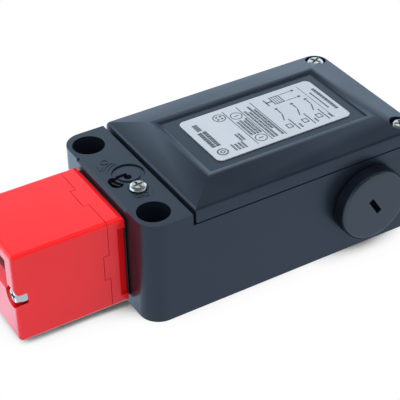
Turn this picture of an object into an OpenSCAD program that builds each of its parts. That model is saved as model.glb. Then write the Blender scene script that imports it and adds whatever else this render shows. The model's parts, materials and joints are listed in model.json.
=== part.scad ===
// Safety switch with a separate-key head, a solenoid lock and a hinged release
// Lies on its mounting face, cover up, head towards -X; origin under the middle of the whole switch

/* [Housing] */
// Width of the housing and its cover
body_w = 60; // [58:1:66]
// Length of the housing with its mounting block
body_l = 106.2; // [104:1:118]
// Height of the side walls, where the cover sits
rim_z = 34.3; // [33:0.1:36]
// Wall thickness of the housing
wall = 3; // [2.5:0.1:3.4]
// Floor thickness of the housing
floor_t = 3; // [2.5:0.1:3.5]
// Corner radius at the far end
far_r = 6; // [4:0.5:7]

/* [Mounting block] */
// Length of the mounting block
block_l = 16.7; // [16:0.1:18]
// Height of the mounting block
block_h = 38.6; // [37.5:0.1:40]
// Corner radius of the mounting block
block_r = 7; // [5:0.5:7.5]
// Distance between the two fixing holes
fixing_pitch = 44; // [42:1:46]
// Distance of the fixing holes from the block's end face
fixing_x = 7; // [6.5:0.1:8]
// Diameter of the fixing holes, for M5 screws
fixing_d = 5.4; // [5.2:0.1:5.8]
// Diameter of the counterbores for the screw heads
cbore_d = 11; // [10:0.1:12]
// Depth of the counterbores
cbore_deep = 9; // [6:1:14]
// Chamfer on the block's top edge behind the head
block_chamfer = 1.8; // [1:0.1:2.4]

/* [Conduit entries] */
// Diameter of the conduit entries, for M20 glands
entry_d = 20.2; // [18:0.1:21]
// Wall length of each conduit entry
entry_l = 9; // [8:0.5:10]
// Distance of the side entries from the block's end face
entry_x = 83.8; // [83:0.1:86]
// Diameter of the round head of a closing plug
plug_head_d = 26; // [24:0.5:27]
// Thickness of the plug's head
plug_head_t = 5; // [4:0.5:6]
// Thickness of the seal under the plug's head
plug_seal_t = 1; // [0.8:0.1:1.5]

/* [Cover] */
// Height of the cover's upright edge above the side walls
cover_edge_h = 4.1; // [3.5:0.1:5]
// Rounding above the cover's upright edge
cover_round = 1.5; // [1:0.1:2]
// Height of the cover's ridge above the rounded edge
cover_rise = 2.3; // [1.5:0.1:3]
// Roof thickness of the cover
cover_t = 2.4; // [2:0.1:2.8]
// Open slot between the mounting block and the cover
cover_gap = 1; // [0.6:0.1:1.4]
// Distance of the ridge from the cover's long sides
ridge_in_y = 12.2; // [11:0.1:13]
// Distance of the ridge from the cover's two ends
ridge_in_x = 12; // [11.5:0.1:13]
// Depth of the label tray below the ridge
tray_deep = 1; // [0.6:0.1:1.2]
// Horizontal run of the tray's sloped walls
tray_run = 1.8; // [1.2:0.1:2.5]
// Length of the label plate
label_l = 53; // [44:1:56]
// Width of the label plate
label_w = 26.8; // [22:0.2:28]
// Thickness of the label plate
label_t = 0.4; // [0.3:0.1:0.6]
// Corner radius of the label plate
label_r = 2.2; // [1:0.1:3]
// Inset of the cover screws from the far end and the sides
cover_screw_in = 5.2; // [5:0.1:6]
// Head diameter of the cover screws
cover_screw_head_d = 6.5; // [6:0.1:7]

/* [Head] */
// Width and height of the square head
head_w = 34; // [34:0.5:36]
// Length of the head's front part
head_body_l = 32.7; // [32:0.1:36]
// Length of the head's base plate
head_base_l = 5.9; // [5:0.1:7]
// Seam between the two parts of the head
head_seam = 0.2; // [0.1:0.05:0.3]
// Thickness of the gasket behind the head
head_gasket_t = 0.8; // [0.6:0.1:1.2]
// Height of the head's axis, the plunger and the conduit entries
axis_z = 19.1; // [18.5:0.1:19.8]
// Rounding of the head's outer edges
head_r = 1.6; // [1:0.1:2]
// Width of the base plate's locating tabs
tab_w = 9.2; // [7:0.1:10]
// Length of the locating tabs
tab_l = 2; // [1.5:0.1:2.5]
// Width of the key entries
key_w = 23; // [20:0.5:23]
// Height of the key entries
key_h = 9.5; // [8:0.1:10]
// Distance of a key entry's inner side from the head's axis
key_in = 3.4; // [3:0.1:3.8]
// Distance of the head screws from the head's axis
head_screw_y = 13.6; // [13.6:0.1:13.9]
// Head diameter of the head screws
head_screw_head_d = 6.6; // [6:0.1:6.8]
// Shank diameter of the head screws
head_screw_d = 3.4; // [3:0.1:3.5]

/* [Cam wheel and plunger] */
// Radius of the cam wheel's outer discs
wheel_r = 11; // [10.6:0.1:11.2]
// Width of the cam wheel
wheel_w = 18; // [17:0.5:18]
// Width of the spiral cam in the middle of the wheel
cam_w = 9; // [8:0.5:10]
// Radius of the spiral cam at rest
cam_r = 10.4; // [10:0.1:10.6]
// Travel of the plunger
stroke = 4; // [3:0.5:4]
// Turn of the cam wheel for the full travel, in degrees
wheel_turn = 60; // [50:5:65]
// Diameter of the wheel's axle
axle_d = 4; // [3.5:0.1:4.5]
// Diameter of the plunger
plunger_d = 6; // [5:0.1:6.4]
// Radius of the plunger's nose
nose_r = 1.6; // [1.2:0.1:2]
// Outer diameter of the plunger spring
plunger_spring_d = 9; // [8.6:0.1:9.2]
// Wire diameter of the springs
spring_wire = 0.8; // [0.6:0.1:0.9]

/* [Solenoid lock] */
// Distance of the lock pin from the block's end face
lock_x = 34; // [33.5:0.1:36]
// Diameter of the lock pin
lock_pin_d = 4; // [3:0.1:4.5]
// Diameter of the coil winding
coil_d = 16; // [14:0.5:16.5]
// Length of the coil winding
coil_l = 11; // [9:0.5:11]
// Sheet thickness of the yoke
yoke_t = 1.5; // [1.2:0.1:1.8]
// Pull of the armature beyond the freed position
pull = 1.5; // [1:0.1:1.8]

/* [Contacts] */
// Distance of the contact blocks from the block's end face
contact_x = 50; // [49:0.5:51]
// Length of a contact block
contact_l = 19; // [18:0.5:19.5]
// Width of a contact block
contact_w = 14; // [12:0.5:14.5]
// Height of a contact block
contact_h = 24; // [22:0.5:25]
// Width of the slider between the contact blocks
slider_w = 8; // [7:0.5:8.5]
// Height of the slider
slider_h = 8; // [7:0.5:9]

/* [Release] */
// Diameter of the release disc
release_d = 10.6; // [9:0.1:11]
// Distance of the release disc from the block's end face
release_x = 10.3; // [10:0.1:10.8]
// Diameter of the release shaft
release_shaft_d = 5; // [4:0.1:5.5]
// Eccentricity of the release pin
release_ecc = 1.6; // [1.2:0.1:1.6]
// Head diameter of the screw that locks the release
lock_screw_head_d = 6; // [5.5:0.1:6.4]

/* [Hidden] */

// Clearances: parts that move, parts that only fit, threads in their pilot holes
run_gap = 0.08;
fit_gap = 0.2;
thread_gap = 0.05;
// How far a cut runs past the face that it opens
past = 1;
round_fn = 64;
hull_fn = 32;

// Lengths along X are taken from the block's end face, which the head is bolted to
head_back_x = -head_gasket_t;
seam_x = head_back_x - head_base_l;
head_body_back_x = seam_x - head_seam;
head_front_x = head_body_back_x - head_body_l;
face_x = (-head_front_x - body_l) / 2;

// Cover
cover_x0 = block_l + cover_gap;
cover_z1 = rim_z + cover_edge_h;
cover_z2 = cover_z1 + cover_round;
ridge_z = cover_z2 + cover_rise;
tray_z = ridge_z - tray_deep;
ridge_x0 = cover_x0 + ridge_in_x;
ridge_x1 = body_l - ridge_in_x;
ridge_y = body_w / 2 - ridge_in_y + 0.2;
tray_mid_x = (ridge_x0 + ridge_x1) / 2 + 0.9;
layer_t = 0.2;
roof_z = cover_z1 - cover_t + 0.6;
cover_corner_in = 0.6;
cover_screw_x = body_l - cover_screw_in;
cover_screw_y = body_w / 2 - cover_screw_in;
cover_screw_shank_d = 3;
cover_seat_z = cover_z2 - 2;
cover_head_h = 2.4;
cover_screw_l = 14;
screw_boss_d = 8.4;
gasket_h = 0.8;
gasket_w = 1.2;
tongue_w = 8;
tongue_l = 2;
tongue_z = rim_z + 0.6;
tongue_t = 1.6;
tongue_y = 12;

// Cavity of the housing
cavity_x0 = block_l + wall;
cavity_x1 = body_l - wall;
cavity_y = body_w / 2 - wall;
entry_boss_d = entry_d + 5;

// Head and its drive
wheel_x = head_front_x + 18.6;
wheel_room = 0.4;
axle_l = 23;
axle_seat_l = 2.4;
axle_y = wheel_w / 2 + fit_gap + axle_seat_l;
nose_gap = 0.45;
nose_x = wheel_x + cam_r + nose_gap;
spring_pocket_x = 8.4;
spring_pocket_d = plunger_spring_d + 1;
collar_x = spring_pocket_x + 0.4 + stroke;
collar_t = 1.5;
retainer_t = 1.7;
retainer_x = cavity_x0 + fit_gap;
plunger_end_x = retainer_x + retainer_t + stroke + 1;
head_screw_head_h = 3.6;
head_screw_seat_x = head_front_x + 0.6 + head_screw_head_h;
head_screw_l = 36 + head_base_l;
recess_w = 0.9;

// Lock and solenoid
flank_y = -slider_w / 2;
pin_tip_y = flank_y - 0.3;
yoke_y1 = pin_tip_y - 3.4 - pull;
yoke_y0 = yoke_y1 - coil_l - 2 * yoke_t - 2 * fit_gap - 1.6;
yoke_half_x = coil_d / 2 + 0.8;
yoke_z0 = axis_z - yoke_half_x - yoke_t;
bobbin_t = 0.8;
bobbin_bore = 6.6;
armature_d = 6.4;
bar_t = 1.4;
bar_z = axis_z + spring_pocket_d / 2 + 1.9;
bar_w = 2.4;
collar_y1 = pin_tip_y - 0.8;
collar_half = 4.2;

// Release
release_y = 0.5;
release_t = 3;
release_low = 0.5;
release_pin_d = 2;
bar_y1 = release_y - release_ecc - release_pin_d / 2 - 0.3;
release_room_z0 = bar_z - 0.6;
release_room_z1 = bar_z + bar_t + 1;
lock_screw_x = 9.25;
lock_screw_y = -8.2;

// Inner frame, slider and contacts
frame_t = 2;
frame_z = floor_t + frame_t;
frame_y = cavity_y - 2;
slider_x0 = plunger_end_x;
slider_x1 = contact_x + contact_l - 1;
contact_y0 = slider_w / 2 + 1.6;
contact_room = 7.4;
contact_pitch = 9;
bridge_t = 0.8;
bridge_h = 4;
bridge_reach = 9;
terminal_d = 4.4;
terminal_h = 1.8;
rivet_t = 0.8;
guide_l = 3;
guide_x = contact_x - guide_l - 1;
frame_screw_at = [[retainer_x + 3.6, frame_y - 4], [contact_x - 2.9, 4 - frame_y]];
plug_shank_d = entry_d - 0.3;
plug_shank_l = entry_l - 1;

// Start of a contact room, and the place of its moving bridge when the plunger is pushed in
function room_x(i) = contact_x + 1 + i * contact_pitch;
function bridge_x(i) = room_x(i) + bridge_t + rivet_t + stroke + 0.3;

// Box between two opposite corners
module slab(low, high) translate(low) cube(high - low);

module rod_x(d, x0, x1, y, z) translate([x0, y, z]) rotate([0, 90, 0]) cylinder(d = d, h = x1 - x0, $fn = round_fn);

module rod_y(d, y0, y1, x, z) translate([x, y0, z]) rotate([-90, 0, 0]) cylinder(d = d, h = y1 - y0, $fn = round_fn);

module rod_z(d, z0, z1, x, y) translate([x, y, z0]) cylinder(d = d, h = z1 - z0, $fn = round_fn);

// Moves what is measured from the block's end face into the switch's own frame
module placed() translate([face_x, 0, 0]) children();

// Flat outline from x0 to x1, with a corner radius of its own at each end
module outline(x0, x1, half_w, r0, r1, fn = round_fn) {
    translate([x0 + r0, -half_w]) square([x1 - r1 - x0 - r0, 2 * half_w]);
    translate([x0, -half_w + r0]) square([r0, 2 * (half_w - r0)]);
    translate([x1 - r1, -half_w + r1]) square([r1, 2 * (half_w - r1)]);
    for (side = [-1, 1]) {
        translate([x0 + r0, side * (half_w - r0)]) circle(r = r0, $fn = fn);
        translate([x1 - r1, side * (half_w - r1)]) circle(r = r1, $fn = fn);
    }
}

// Cross recess of a screw that is cut along +Z from the origin down
module cross_recess(size, deep) {
    for (turn = [0, 90]) rotate(turn)
        translate([-size / 2, -recess_w / 2, -deep]) cube([size, recess_w, deep + past]);
}

// Pan-head screw whose head sits on z = 0, with the shank below it
module pan_screw(head_d, head_h, shank_d, shank_l) {
    difference() {
        rotate_extrude($fn = round_fn) polygon([[0, 0], [head_d / 2, 0], [head_d / 2, head_h * 0.45],
            [head_d / 2 - 0.35, head_h * 0.8], [head_d / 2 - 1, head_h], [0, head_h]]);
        translate([0, 0, head_h]) cross_recess(head_d * 0.62, head_h * 0.6);
    }
    translate([0, 0, -shank_l]) cylinder(d = shank_d, h = shank_l, $fn = round_fn);
}

// Helical spring along +Z: two closed end turns and open turns between them
function coil_z(t, turns, h, wire) = wire / 2 + (h - wire) * t / turns;
function ring_point(t, side, r, turns, h, wire) =
    let (a = 360 * t, b = 360 * side / 8, rr = r + wire / 2 * cos(b))
    [rr * cos(a), rr * sin(a), coil_z(t, turns, h, wire) + wire / 2 * sin(b)];
module spring(outer_d, wire, h, turns) {
    rings = turns * 16;
    points = [for (i = [0 : rings], s = [0 : 7]) ring_point(i / 16, s, (outer_d - wire) / 2, turns, h, wire)];
    sides = [for (i = [0 : rings - 1], s = [0 : 7]) [i * 8 + s, i * 8 + (s + 1) % 8,
        (i + 1) * 8 + (s + 1) % 8, (i + 1) * 8 + s]];
    first = [[for (s = [7 : -1 : 0]) s]];
    last = [[for (s = [0 : 7]) rings * 8 + s]];
    polyhedron(points, concat(sides, first, last), convexity = 4);
}

// Housing: one moulding of block, walls, floor and bosses
module housing_shape() {
    linear_extrude(rim_z) outline(0, body_l, body_w / 2, block_r, far_r);
    intersection() {
        linear_extrude(block_h) outline(0, body_l, body_w / 2, block_r, far_r);
        slab([0, -body_w / 2, 0], [block_l, body_w / 2, block_h]);
    }
}

module cavity() {
    difference() {
        translate([0, 0, floor_t]) linear_extrude(rim_z)
            outline(cavity_x0, cavity_x1, cavity_y, 2, far_r - wall);
        for (side = [-1, 1]) {
            rod_z(screw_boss_d, 0, rim_z + past, cover_screw_x, side * cover_screw_y);
            rod_y(entry_boss_d, side < 0 ? -body_w / 2 : body_w / 2 - entry_l,
                side < 0 ? -body_w / 2 + entry_l : body_w / 2, entry_x, axis_z);
        }
        rod_x(entry_boss_d, body_l - entry_l, body_l, 0, axis_z);
    }
}

module release_pocket() {
    rod_z(release_d + 0.3, block_h - release_t - fit_gap, block_h + past, release_x, release_y);
    rod_z(release_shaft_d + 2 * run_gap, release_room_z1 - past, block_h, release_x, release_y);
    slab([release_x - 5.2, bar_y1 - bar_w - pull - 0.6, release_room_z0],
        [cavity_x0 + past, release_y + release_ecc + 2, release_room_z1]);
    rod_z(lock_screw_head_d + 0.8, block_h - 0.6, block_h + past, lock_screw_x, lock_screw_y);
    rod_z(3 + 2 * thread_gap, block_h - 9, block_h, lock_screw_x, lock_screw_y);
    rod_z(8.6, block_h - 3, block_h + past, 1.6, -2.7);
}

module housing() color("#2b3038") placed() difference() {
    housing_shape();
    cavity();
    for (side = [-1, 1]) {
        rod_z(fixing_d, -past, block_h + past, fixing_x, side * fixing_pitch / 2);
        rod_z(cbore_d, block_h - cbore_deep, block_h + past, fixing_x, side * fixing_pitch / 2);
        rod_y(entry_d, side < 0 ? -body_w / 2 - past : body_w / 2 - entry_l - past,
            side < 0 ? -body_w / 2 + entry_l + past : body_w / 2 + past, entry_x, axis_z);
        rod_z(cover_screw_shank_d + 2 * thread_gap, rim_z - cover_screw_l, rim_z + past,
            cover_screw_x, side * cover_screw_y);
        rod_x(head_screw_d + 2 * thread_gap, -past, head_screw_seat_x + head_screw_l + 1,
            side * head_screw_y, axis_z);
        slab([block_l - tongue_l - fit_gap, side * tongue_y - tongue_w / 2 - fit_gap, tongue_z - fit_gap],
            [block_l + past, side * tongue_y + tongue_w / 2 + fit_gap, tongue_z + tongue_t + fit_gap]);
    }
    rod_x(entry_d, body_l - entry_l - past, body_l + past, 0, axis_z);
    rod_x(plunger_d + 2 * run_gap, -past, cavity_x0, 0, axis_z);
    rod_x(spring_pocket_d, spring_pocket_x, cavity_x0 + past, 0, axis_z);
    rod_x(plunger_d + 3.4, -past, 2, 0, axis_z);
    release_pocket();
    translate([-block_chamfer, -13, block_h]) rotate([0, 45, 0])
        cube([block_chamfer * sqrt(2), 26, block_chamfer * sqrt(2)]);
}

// Cover: upright edge, rounded shoulder and a low hipped roof with the sunk label tray
module cover_layer(inset, top) translate([0, 0, top - layer_t]) linear_extrude(layer_t)
    outline(cover_x0 + inset, body_l - inset, body_w / 2 - inset, cover_corner_in, far_r - inset, hull_fn);

module cover_outside() {
    translate([0, 0, rim_z]) linear_extrude(cover_edge_h)
        outline(cover_x0, body_l, body_w / 2, cover_corner_in, far_r, hull_fn);
    hull() {
        cover_layer(0, cover_z1);
        cover_layer(cover_round * 0.16, cover_z1 + cover_round * 0.6);
        cover_layer(cover_round * 0.55, cover_z2);
        slab([ridge_x0, -ridge_y, ridge_z - layer_t], [ridge_x1, ridge_y, ridge_z]);
    }
}

module label_tray() hull() {
    slab([ridge_x0 + tray_run, -ridge_y + tray_run, tray_z], [ridge_x1 - tray_run, ridge_y - tray_run, tray_z + 0.1]);
    slab([ridge_x0 + 0.2, -ridge_y + 0.2, ridge_z], [ridge_x1 - 0.2, ridge_y - 0.2, ridge_z + 0.1]);
}

module gasket_ring(w) difference() {
    outline(cover_x0 + wall / 2 - w / 2, body_l - wall / 2 + w / 2, body_w / 2 - wall / 2 + w / 2, 1.5, far_r - wall / 2);
    outline(cover_x0 + wall / 2 + w / 2, body_l - wall / 2 - w / 2, body_w / 2 - wall / 2 - w / 2, 1.5, far_r - wall / 2 - 0.5);
}

module cover() color("#2b3038") placed() difference() {
    union() {
        difference() {
            cover_outside();
            label_tray();
            difference() {
                translate([0, 0, rim_z - past]) linear_extrude(roof_z - rim_z + past)
                    outline(cavity_x0 + fit_gap, cavity_x1, cavity_y, 2, far_r - wall);
                for (side = [-1, 1]) rod_z(screw_boss_d, rim_z - 2 * past, ridge_z, cover_screw_x, side * cover_screw_y);
            }
        }
        for (side = [-1, 1]) slab([block_l - tongue_l, side * tongue_y - tongue_w / 2, tongue_z],
            [cover_x0 + 2, side * tongue_y + tongue_w / 2, tongue_z + tongue_t]);
    }
    translate([0, 0, rim_z - past]) linear_extrude(gasket_h + past) gasket_ring(gasket_w + 0.2);
    for (side = [-1, 1]) {
        rod_z(cover_screw_shank_d + 2 * fit_gap, rim_z - past, ridge_z, cover_screw_x, side * cover_screw_y);
        rod_z(cover_screw_head_d + 1, cover_seat_z, ridge_z, cover_screw_x, side * cover_screw_y);
    }
}

module cover_gasket() color("#101214") placed() translate([0, 0, rim_z]) linear_extrude(gasket_h) gasket_ring(gasket_w);

module label_plate() color("#cdd5df") placed() translate([tray_mid_x, 0, tray_z]) linear_extrude(label_t)
    outline(-label_l / 2, label_l / 2, label_w / 2, label_r, label_r);

module cover_screws() color("silver") placed() for (side = [-1, 1])
    translate([cover_screw_x, side * cover_screw_y, cover_seat_z]) rotate(side * 25)
        pan_screw(cover_screw_head_d, cover_head_h, cover_screw_shank_d, cover_seat_z - rim_z + cover_screw_l - 2);

// Square block along X with rounded long edges, centred on the head's axis
module head_block(x0, x1, w, r, fn = round_fn) translate([x0, 0, axis_z]) rotate([90, 0, 90])
    linear_extrude(x1 - x0) outline(-w / 2, w / 2, w / 2, r, r, fn);

// The four locating tabs, which the base plate has and the head body gives room for
module tabs(grow) for (turn = [0 : 90 : 270]) translate([0, 0, axis_z]) rotate([turn, 0, 0])
    slab([seam_x - tab_l - grow, -tab_w / 2 - grow, head_w / 2 - 3 - grow],
        [seam_x + 1, tab_w / 2 + grow, head_w / 2 - (grow > 0 ? -past : 0.02)]);

module key_entries() {
    slab([head_front_x - past, -key_w / 2, axis_z + key_in], [wheel_x + 9, key_w / 2, axis_z + key_in + key_h]);
    slab([wheel_x - key_in - key_h - 3.2, -key_w / 2, axis_z - head_w / 2 - past],
        [wheel_x - key_in - 3.2, key_w / 2, axis_z + key_in + past]);
    translate([head_front_x, 0, axis_z + key_in]) rotate([0, 45, 0])
        cube([4, key_w, 4], center = true);
}

module head_body() color("#ff3034") placed() difference() {
    hull() {
        for (y = [-1, 1], z = [-1, 1]) translate([head_front_x + head_r, y * (head_w / 2 - head_r),
            axis_z + z * (head_w / 2 - head_r)]) sphere(r = head_r, $fn = hull_fn);
        head_block(head_body_back_x - 1, head_body_back_x, head_w, head_r, hull_fn);
    }
    key_entries();
    rod_y(2 * (wheel_r + wheel_room), -wheel_w / 2 - fit_gap, wheel_w / 2 + fit_gap, wheel_x, axis_z);
    slab([wheel_x, -wheel_w / 2 - fit_gap, axis_z - 6], [head_body_back_x + past, wheel_w / 2 + fit_gap, axis_z + 6]);
    rod_y(axle_d + 0.1, -axle_y, axle_y, wheel_x, axis_z);
    slab([wheel_x, -axle_y, axis_z - axle_d / 2 - 0.05], [head_body_back_x + past, axle_y, axis_z + axle_d / 2 + 0.05]);
    tabs(head_seam);
    for (side = [-1, 1]) {
        rod_x(head_screw_d + 2 * fit_gap, head_front_x - past, head_body_back_x + past, side * head_screw_y, axis_z);
        rod_x(head_screw_head_d + 1.2, head_front_x - past, head_screw_seat_x, side * head_screw_y, axis_z);
    }
}

module head_base() color("#f02c30") placed() difference() {
    union() {
        head_block(seam_x, head_back_x, head_w - 0.04, head_r);
        tabs(0);
        for (side = [-1, 1]) mirror([0, side < 0 ? 1 : 0, 0])
            slab([wheel_x + axle_d / 2 + fit_gap, axle_y - axle_seat_l + fit_gap, axis_z - 1.8], [seam_x + 1, axle_y - fit_gap, axis_z + 1.8]);
    }
    rod_x(plunger_d + 2 * run_gap, seam_x - tab_l - past, past, 0, axis_z);
    for (side = [-1, 1])
        rod_x(head_screw_d + 2 * fit_gap, seam_x - tab_l - past, past, side * head_screw_y, axis_z);
    for (side = [-1, 1])
        translate([head_back_x, side * (head_w / 2), axis_z]) rotate([0, 0, 45])
            cube([1.4, 1.4, head_w - 11], center = true);
}

module head_gasket() color("#101214") placed() difference() {
    head_block(-head_gasket_t, 0, head_w - 4, 3);
    rod_x(plunger_d + 1, -head_gasket_t - past, past, 0, axis_z);
    for (side = [-1, 1])
        rod_x(head_screw_d + 2 * fit_gap, -head_gasket_t - past, past, side * head_screw_y, axis_z);
}

module head_screws() color("silver") placed() for (side = [-1, 1])
    translate([head_screw_seat_x, side * head_screw_y, axis_z]) rotate([0, -90, 0]) rotate(20)
        pan_screw(head_screw_head_d, head_screw_head_h, head_screw_d, head_screw_l);

// Cam wheel: two notched discs that the key turns, and a spiral between them that lets the plunger out
function cam_radius(a) = a <= 0 ? cam_r : a <= wheel_turn ? cam_r - stroke * a / wheel_turn
    : a <= wheel_turn + 30 ? cam_r - stroke : cam_r;

module cam_wheel() color("#d8d4c8") placed() translate([wheel_x, 0, axis_z]) difference() {
    rotate([90, 0, 0]) union() {
        for (side = [-1, 1]) translate([0, 0, side * (wheel_w + cam_w) / 4])
            cylinder(r = wheel_r, h = (wheel_w - cam_w) / 2, center = true, $fn = round_fn);
        linear_extrude(cam_w, center = true)
            polygon([for (a = [-180 : 4 : 176]) cam_radius(a) * [cos(a), sin(a)]]);
    }
    rod_y(axle_d + 2 * run_gap, -wheel_w, wheel_w, 0, 0);
    for (side = [-1, 1], a = [118, 152]) mirror([0, side < 0 ? 1 : 0, 0]) rotate([0, -a, 0])
        slab([wheel_r - 4.2, cam_w / 2 + 0.8, -2], [wheel_r + past, wheel_w, 2]);
}

module cam_axle() color("silver") placed() rod_y(axle_d, -axle_l / 2, axle_l / 2, wheel_x, axis_z);

module plunger() color("#b9bec4") placed() translate([0, 0, axis_z]) rotate([0, 90, 0]) rotate_extrude($fn = round_fn)
    polygon(concat(
        [for (a = [0 : 10 : 45]) [nose_r * sin(a), nose_x + nose_r - nose_r * cos(a)]],
        [[plunger_d / 2, nose_x + nose_r - nose_r * cos(40) + plunger_d / 2 - nose_r * sin(40)],
        [plunger_d / 2, collar_x], [plunger_spring_d / 2, collar_x], [plunger_spring_d / 2, collar_x + collar_t],
        [plunger_d / 2, collar_x + collar_t], [plunger_d / 2, plunger_end_x], [0, plunger_end_x]]));

module plunger_spring() color("silver") placed() translate([collar_x + collar_t, 0, axis_z]) rotate([0, 90, 0])
    spring(plunger_spring_d, spring_wire, retainer_x - collar_x - collar_t, 4);

module plunger_seal() color("#101214") placed() difference() {
    rod_x(plunger_d + 3.4, 0, 1.9, 0, axis_z);
    rod_x(plunger_d + 2 * run_gap, -past, 2 + past, 0, axis_z);
}

// Release: slotted disc flush with the block, shaft and eccentric pin in one piece
module release_disc() color("#3a4048") placed() translate([release_x, release_y, 0]) difference() {
    union() {
        rod_z(release_d, block_h - release_t, block_h - release_low, 0, 0);
        rod_z(release_d - 2.4, block_h - release_low - 0.1, block_h - 0.1, 0, 0);
        rod_z(release_shaft_d, release_room_z1 + fit_gap, block_h - release_t + 0.1, 0, 0);
        rod_z(release_pin_d, release_room_z0 + fit_gap, release_room_z1 + 1, release_ecc, 0);
    }
    slab([-5.6, -0.7, block_h - 2], [-0.6, 0.7, block_h + past]);
    rod_z(2.6, block_h - 2, block_h + past, -1, -1.6);
}

module release_lock_screw() color("silver") placed() translate([lock_screw_x, lock_screw_y, block_h - 0.4])
    rotate(8) pan_screw(lock_screw_head_d, 1.7, 3, 7.4);

// Closing plug for a side entry, drawn along -Y from the housing's side face
module plug() {
    head_y = body_w / 2 + plug_seal_t;
    difference() {
        union() {
            translate([entry_x, -head_y, axis_z]) rotate([90, 0, 0]) rotate_extrude($fn = 96)
                polygon([[0, 0], [plug_head_d / 2, 0], [plug_head_d / 2, plug_head_t - 1.2],
                    [plug_head_d / 2 - 0.4, plug_head_t - 0.4], [plug_head_d / 2 - 1.2, plug_head_t], [0, plug_head_t]]);
            rod_y(plug_shank_d, -head_y - 0.1, -body_w / 2 + plug_shank_l, entry_x, axis_z);
        }
        translate([entry_x, -head_y - plug_head_t, axis_z]) rotate([0, 33, 0])
            cube([2.2, 3.6, 9], center = true);
        rod_y(plug_shank_d - 4, -body_w / 2 + 1, 0, entry_x, axis_z);
    }
}

module plug_front() color("#22262c") placed() plug();
module plug_back() color("#22262c") placed() mirror([0, 1, 0]) plug();

module plug_seals() color("#101214") placed() for (side = [0, 1]) mirror([0, side, 0]) difference() {
    rod_y(plug_head_d - 2, -body_w / 2 - plug_seal_t, -body_w / 2, entry_x, axis_z);
    rod_y(plug_shank_d + 0.2, -body_w / 2 - plug_seal_t - past, -body_w / 2 + past, entry_x, axis_z);
}

// Inner frame: carries the solenoid, guides the slider and holds the plunger spring
module inner_frame() color("#8b9097") placed() difference() {
    union() {
        slab([retainer_x, -frame_y, floor_t], [contact_x + contact_l, frame_y, frame_z]);
        slab([retainer_x, -7, floor_t], [retainer_x + retainer_t, 7, axis_z + plunger_spring_d / 2]);
        slab([lock_x - yoke_half_x, yoke_y0, floor_t], [lock_x + yoke_half_x, yoke_y1, yoke_z0]);
        slab([guide_x, -slider_w / 2 - 2, floor_t], [guide_x + guide_l, slider_w / 2 + 2, axis_z + slider_h / 2]);
        slab([guide_x - 12, 9, floor_t], [guide_x + guide_l, 22, frame_z + 2]);
    }
    rod_x(plunger_d + 0.6, 0, guide_x, 0, axis_z);
    slab([guide_x - past, -slider_w / 2 - run_gap, axis_z - slider_h / 2 - run_gap],
        [guide_x + guide_l + past, slider_w / 2 + run_gap, block_h]);
    for (p = frame_screw_at) rod_z(3.4, 0, frame_z + past, p[0], p[1]);
}

module frame_screws() color("silver") placed() for (p = frame_screw_at)
    translate([p[0], p[1], frame_z]) rotate(p[1]) pan_screw(4.8, 1.8, 3, frame_t - 0.2);

// Yoke: folded steel strip round the coil, open at top and bottom
module solenoid_yoke() color("#9aa0a6") placed() difference() {
    slab([lock_x - yoke_half_x - yoke_t, yoke_y0, yoke_z0], [lock_x + yoke_half_x + yoke_t, yoke_y1, axis_z + yoke_half_x]);
    slab([lock_x - yoke_half_x, yoke_y0 + yoke_t, yoke_z0 - past], [lock_x + yoke_half_x, yoke_y1 - yoke_t, block_h]);
    rod_y(lock_pin_d + 2 * run_gap, yoke_y1 - yoke_t - past, yoke_y1 + past, lock_x, axis_z);
}

module coil_bobbin() color("#e9e6dc") placed() difference() {
    union() {
        rod_y(bobbin_bore + 2 * bobbin_t, yoke_y0 + yoke_t, yoke_y1 - yoke_t, lock_x, axis_z);
        for (y = [yoke_y0 + yoke_t, yoke_y1 - yoke_t - bobbin_t]) rod_y(coil_d + 0.8, y, y + bobbin_t, lock_x, axis_z);
    }
    rod_y(bobbin_bore, yoke_y0, yoke_y1, lock_x, axis_z);
}

module coil_winding() color("#b4662e") placed() difference() {
    rod_y(coil_d, yoke_y0 + yoke_t + bobbin_t + 0.1, yoke_y1 - yoke_t - bobbin_t - 0.1, lock_x, axis_z);
    rod_y(bobbin_bore + 2 * bobbin_t, yoke_y0, yoke_y1, lock_x, axis_z);
}

module armature() color("#c9ced4") placed() union() {
    rod_y(armature_d, yoke_y0 + yoke_t + 4.4, yoke_y1 - yoke_t - 0.4, lock_x, axis_z);
    rod_y(lock_pin_d, yoke_y1 - yoke_t - 1, pin_tip_y, lock_x, axis_z);
    rod_y(2 * collar_half, yoke_y1 + pull + 0.3, collar_y1, lock_x, axis_z);
}

module armature_spring() color("silver") placed() translate([lock_x, yoke_y0 + yoke_t, axis_z]) rotate([-90, 0, 0])
    spring(5.6, 0.6, 4.3 - pull, 4);

// Lock bar: riveted to the armature's collar, reaches past the pin of the release
module lock_bar() color("#c9ced4") placed() difference() {
    union() {
        slab([release_x - 3, bar_y1 - bar_w, bar_z], [lock_x + collar_half, bar_y1, bar_z + bar_t]);
        slab([lock_x - 2.5, yoke_y1 + pull + 0.3, axis_z + collar_half - 0.4], [lock_x + 2.5, collar_y1, bar_z + bar_t]);
        slab([lock_x - 2.5, yoke_y1 + pull + 0.3, bar_z], [lock_x + 2.5, bar_y1, bar_z + bar_t]);
    }
    rod_y(2 * collar_half, yoke_y0, 0, lock_x, axis_z);
}

module slider() color("#2e6fa8") placed() difference() {
    slab([slider_x0, -slider_w / 2, axis_z - slider_h / 2], [slider_x1, slider_w / 2, axis_z + slider_h / 2]);
    slab([lock_x + stroke - lock_pin_d / 2 - 0.3, -slider_w, axis_z - lock_pin_d / 2 - 0.3],
        [lock_x + stroke + lock_pin_d / 2 + 0.3, flank_y + 3, axis_z + lock_pin_d / 2 + 0.3]);
    for (i = [0, 1]) slab([bridge_x(i), -slider_w, axis_z - bridge_h / 2],
        [bridge_x(i) + bridge_t, slider_w, axis_z + bridge_h / 2]);
}

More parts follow.
